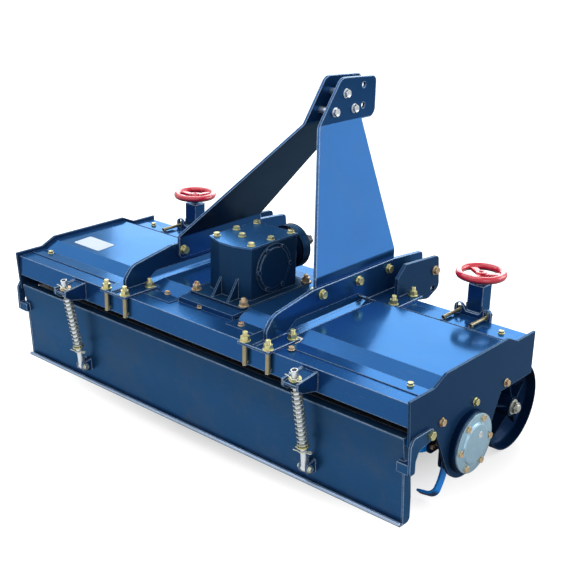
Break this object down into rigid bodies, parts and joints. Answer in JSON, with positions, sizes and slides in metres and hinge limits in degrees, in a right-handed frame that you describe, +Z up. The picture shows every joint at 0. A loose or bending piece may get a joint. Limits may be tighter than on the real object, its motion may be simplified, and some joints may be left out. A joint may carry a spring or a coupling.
{
  "type": "rotary tiller for a small tractor",
  "caption": "Three-point rotary tiller: hooded bladed rotor between end plates, centre gearbox, A-frame mast, sprung tailgate and screw-set gauge wheels.",
  "frame": {"origin": "on the floor, midway across the machine and midway between its rearmost and foremost points", "axes": "+X to the machine's right along the rotor, +Y forward to the tractor, +Z up"},
  "size_m": [1.768, 0.969, 1.0906],
  "materials": {
    "navy_paint": "gloss, dark navy blue",
    "gearbox_paint": "satin over a cast skin, dark navy blue",
    "black_paint": "satin black",
    "tine_blue": "gloss bright blue",
    "handwheel_red": "gloss red",
    "yellow_zinc": "yellow passivated zinc",
    "pale_zinc": "pale zinc, slightly yellow",
    "cap_metal": "satin grey casting",
    "bright_steel": "machined steel"
  },
  "bodies": {
    "frame": {"rear_beam": "navy_paint", "front_beam": "navy_paint", "end_plate_left": "navy_paint", "end_plate_right": "navy_paint", "bearing_left": "navy_paint", "bearing_right": "navy_paint", "bearing_cap_left": "cap_metal", "bearing_cap_right": "cap_metal", "hood_left": "navy_paint", "hood_right": "navy_paint", "hood_centre": "navy_paint", "gearbox_seat": "navy_paint", "gearbox_housing": "gearbox_paint", "gearbox_cover": "gearbox_paint", "gearbox_cap_left": "gearbox_paint", "gearbox_cap_right": "gearbox_paint", "gearcase": "gearbox_paint", "rail_left": "navy_paint", "rail_right": "navy_paint", "rear_clamp_left": "yellow_zinc", "rear_clamp_right": "yellow_zinc", "front_clamp_left": "yellow_zinc", "front_clamp_right": "yellow_zinc", "hitch_ear_left": "navy_paint", "hitch_ear_right": "navy_paint", "mast_plate_left": "navy_paint", "mast_plate_right": "navy_paint", "mast_spacers": "pale_zinc", "spring_bracket_left": "navy_paint", "spring_bracket_right": "navy_paint", "depth_bracket_left": "navy_paint", "depth_bracket_right": "navy_paint", "depth_clamp_left": "yellow_zinc", "depth_clamp_right": "yellow_zinc", "handwheel_left": "handwheel_red", "handwheel_right": "handwheel_red"},
    "pto": {"pto_shaft": "bright_steel"},
    "rotor": {"rotor_left": "black_paint", "rotor_right": "black_paint", "tines_left": "tine_blue", "tines_right": "tine_blue"},
    "tailgate": {"tailgate": "navy_paint"},
    "rod_left": {"spring_rod_left": "pale_zinc", "spring_left": "pale_zinc"},
    "rod_right": {"spring_rod_right": "pale_zinc", "spring_right": "pale_zinc"},
    "leg_left": {"wheel_leg_left": "navy_paint"},
    "leg_right": {"wheel_leg_right": "navy_paint"},
    "wheel_left": {"gauge_wheel_left": "navy_paint"},
    "wheel_right": {"gauge_wheel_right": "navy_paint"}
  },
  "joints": [
    {"name": "rotor_spin", "type": "hinge", "parent": "frame", "child": "rotor", "pos_m": [0, -0.1065, 0.212], "axis": [1, 0, 0], "continuous": true},
    {"name": "pto_spin", "type": "hinge", "parent": "frame", "child": "pto", "pos_m": [0, 0.1015, 0.548], "axis": [0, 1, 0], "continuous": true},
    {"name": "tailgate_hinge", "type": "hinge", "parent": "frame", "child": "tailgate", "pos_m": [0, -0.3165, 0.316], "axis": [-1, 0, 0], "range_deg": [0, 8], "stiffness_Nm_per_rad": 250, "deforming": ["spring_left", "spring_right"]},
    {"name": "rod_left_pivot", "type": "hinge", "parent": "tailgate", "child": "rod_left", "pos_m": [-0.504, -0.4045, 0.113], "axis": [1, 0, 0], "range_deg": [0, 2.97]},
    {"name": "rod_right_pivot", "type": "hinge", "parent": "tailgate", "child": "rod_right", "pos_m": [0.504, -0.4045, 0.113], "axis": [1, 0, 0], "range_deg": [0, 2.97]},
    {"name": "leg_left_slide", "type": "slide", "parent": "frame", "child": "leg_left", "axis": [0, 0, 1], "range_m": [-0.04, 0.07]},
    {"name": "leg_right_slide", "type": "slide", "parent": "frame", "child": "leg_right", "axis": [0, 0, 1], "range_m": [-0.04, 0.07]},
    {"name": "wheel_left_spin", "type": "hinge", "parent": "leg_left", "child": "wheel_left", "pos_m": [-0.744, 0.2935, 0.145], "axis": [1, 0, 0], "continuous": true},
    {"name": "wheel_right_spin", "type": "hinge", "parent": "leg_right", "child": "wheel_right", "pos_m": [0.744, 0.2935, 0.145], "axis": [1, 0, 0], "continuous": true}
  ],
  "couplings": [
    {"joint": "pto_spin", "follows": "rotor_spin", "ratio": 2.5},
    {"joint": "rod_left_pivot", "follows": "tailgate_hinge", "ratio": 0.37},
    {"joint": "rod_right_pivot", "follows": "tailgate_hinge", "ratio": 0.37}
  ]
}
